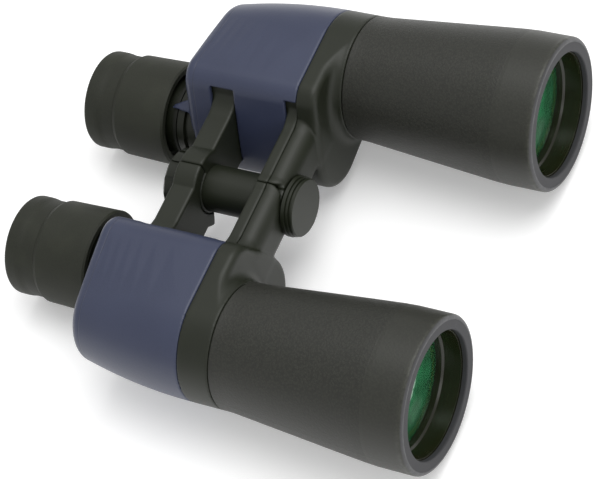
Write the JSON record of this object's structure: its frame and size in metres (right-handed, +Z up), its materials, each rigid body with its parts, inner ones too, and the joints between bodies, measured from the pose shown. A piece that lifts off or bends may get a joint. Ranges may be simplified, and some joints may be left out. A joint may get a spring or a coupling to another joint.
{
  "type": "binoculars",
  "caption": "Porro-prism binoculars with a folding centre hinge, blue housing shells, black tubes, individually focusing eyepieces and a capped tripod socket.",
  "frame": {"origin": "on the table under the middle of the outline, with the hinge fully open", "axes": "+Z up; -Y is the way the objectives face and +Y the way the eyepieces face; +X is the user's left half; the hinge axis runs along Y above the origin"},
  "size_m": [0.194, 0.203, 0.0655],
  "materials": {
    "grained_black": "fine pebble-grained black coating, matte",
    "rim_black": "satin black, lightly worn on the edges",
    "baffle_black": "black anodised, semi-gloss",
    "green_coated_glass": "polished glass with an emerald anti-reflection coating",
    "satin_black": "smooth satin black paint",
    "slate_blue": "satin slate blue",
    "screw_steel": "plain steel",
    "shelf_alloy": "black anodised",
    "prism_glass": "ground edges, polished faces",
    "spring_steel": "spring steel strip",
    "neck_black": "black anodised, satin",
    "seal_rubber": "matte rubber",
    "amber_coated_glass": "polished glass with an amber anti-reflection coating",
    "ring_black": "fine-grained matte black",
    "cup_rubber": "soft matte rubber",
    "shaft_steel": "turned steel",
    "washer_brass": "plain brass",
    "cap_black": "satin black moulding"
  },
  "bodies": {
    "left_half": {"left_objective_tube": "grained_black", "left_objective_bezel": "rim_black", "left_objective_cell": "baffle_black", "left_objective_crown_lens": "green_coated_glass", "left_objective_flint_lens": "green_coated_glass", "left_objective_retaining_ring": "baffle_black", "left_front_cover": "satin_black", "left_cover_screws": "screw_steel", "left_prism_housing": "satin_black", "left_cover_shell": "slate_blue", "left_prism_shelf": "shelf_alloy", "left_shelf_screws": "screw_steel", "left_objective_prism": "prism_glass", "left_eyepiece_prism": "prism_glass", "left_prism_clips": "spring_steel", "left_eyepiece_neck": "neck_black", "left_neck_seal": "seal_rubber", "hinge_shaft": "shaft_steel", "hinge_tube": "satin_black", "hinge_washers": "washer_brass", "hinge_lock_nut": "neck_black", "hinge_end_cap": "cap_black"},
    "right_half": {"right_objective_tube": "grained_black", "right_objective_bezel": "rim_black", "right_objective_cell": "baffle_black", "right_objective_crown_lens": "green_coated_glass", "right_objective_flint_lens": "green_coated_glass", "right_objective_retaining_ring": "baffle_black", "right_front_cover": "satin_black", "right_cover_screws": "screw_steel", "right_prism_housing": "satin_black", "right_cover_shell": "slate_blue", "right_prism_shelf": "shelf_alloy", "right_shelf_screws": "screw_steel", "right_objective_prism": "prism_glass", "right_eyepiece_prism": "prism_glass", "right_prism_clips": "spring_steel", "right_eyepiece_neck": "neck_black", "right_neck_seal": "seal_rubber"},
    "left_ocular": {"left_lens_barrel": "neck_black", "left_field_stop": "baffle_black", "left_field_lens": "amber_coated_glass", "left_lens_spacer": "baffle_black", "left_eye_lens": "amber_coated_glass", "left_eye_retaining_ring": "baffle_black"},
    "right_ocular": {"right_lens_barrel": "neck_black", "right_field_stop": "baffle_black", "right_field_lens": "amber_coated_glass", "right_lens_spacer": "baffle_black", "right_eye_lens": "amber_coated_glass", "right_eye_retaining_ring": "baffle_black"},
    "left_focus": {"left_focus_ring": "ring_black", "left_eyecup": "cup_rubber"},
    "right_focus": {"right_focus_ring": "ring_black", "right_eyecup": "cup_rubber"},
    "front_cap": {"front_cap": "cap_black"}
  },
  "joints": [
    {"name": "centre_hinge", "type": "hinge", "parent": "left_half", "child": "right_half", "pos_m": [0, 0, 0.0342], "axis": [0, -1, 0], "range_deg": [0, 55]},
    {"name": "left_focus_slide", "type": "slide", "parent": "left_half", "child": "left_ocular", "axis": [0, 1, 0], "range_m": [-0.0025, 0.0035]},
    {"name": "left_focus_turn", "type": "hinge", "parent": "left_ocular", "child": "left_focus", "pos_m": [0.038, 0.0785, 0.022], "axis": [0, 1, 0], "range_deg": [-112.5, 157.5]},
    {"name": "right_focus_slide", "type": "slide", "parent": "right_half", "child": "right_ocular", "axis": [0, 1, 0], "range_m": [-0.0025, 0.0035]},
    {"name": "right_focus_turn", "type": "hinge", "parent": "right_ocular", "child": "right_focus", "pos_m": [-0.038, 0.0785, 0.022], "axis": [0, 1, 0], "range_deg": [-112.5, 157.5]},
    {"name": "front_cap_unscrew", "type": "slide", "parent": "left_half", "child": "front_cap", "axis": [0, -1, 0], "range_m": [0, 0.045]}
  ],
  "couplings": [
    {"joint": "left_focus_turn", "follows": "left_focus_slide", "rad_per_m": 785.4},
    {"joint": "right_focus_turn", "follows": "right_focus_slide", "rad_per_m": 785.4}
  ]
}
